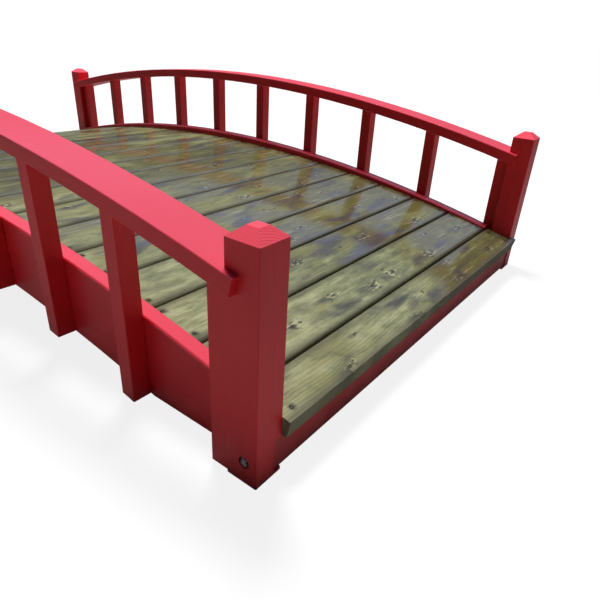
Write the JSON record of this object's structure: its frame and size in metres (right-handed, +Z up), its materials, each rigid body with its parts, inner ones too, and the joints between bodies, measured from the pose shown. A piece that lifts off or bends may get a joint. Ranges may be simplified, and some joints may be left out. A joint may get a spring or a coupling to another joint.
{
  "type": "moon bridge",
  "caption": "Arched garden footbridge with a plank deck between two painted arch beams, low railings of balusters under arched handrails, and square corner posts.",
  "frame": {"origin": "on the ground, midway between the four posts", "axes": "+X along the bridge, +Y across it from the front railing to the back one, +Z up"},
  "size_m": [2.6074, 1.376, 0.5298],
  "materials": {
    "red_paint": "gloss paint on softwood",
    "deck_timber": "pressure-treated softwood, damp and lightly weathered",
    "bearer_timber": "sawn pressure-treated softwood"
  },
  "bodies": {
    "root": {"front_arch_beam": "red_paint", "back_arch_beam": "red_paint", "front_handrail": "red_paint", "back_handrail": "red_paint", "front_balusters": "red_paint", "back_balusters": "red_paint", "left_end_board": "red_paint", "right_end_board": "red_paint", "front_left_post": "red_paint", "front_left_doubler": "red_paint", "front_right_post": "red_paint", "front_right_doubler": "red_paint", "back_left_post": "red_paint", "back_left_doubler": "red_paint", "back_right_post": "red_paint", "back_right_doubler": "red_paint", "deck_plank_01": "deck_timber", "deck_plank_02": "deck_timber", "deck_plank_03": "deck_timber", "deck_plank_04": "deck_timber", "deck_plank_05": "deck_timber", "deck_plank_06": "deck_timber", "deck_plank_07": "deck_timber", "deck_plank_08": "deck_timber", "deck_plank_09": "deck_timber", "deck_plank_10": "deck_timber", "deck_plank_11": "deck_timber", "deck_plank_12": "deck_timber", "deck_plank_13": "deck_timber", "deck_plank_14": "deck_timber", "deck_plank_15": "deck_timber", "deck_plank_16": "deck_timber", "deck_plank_17": "deck_timber", "deck_plank_18": "deck_timber", "deck_plank_19": "deck_timber", "front_deck_bearer": "bearer_timber", "middle_deck_bearer": "bearer_timber", "back_deck_bearer": "bearer_timber"}
  },
  "joints": []
}
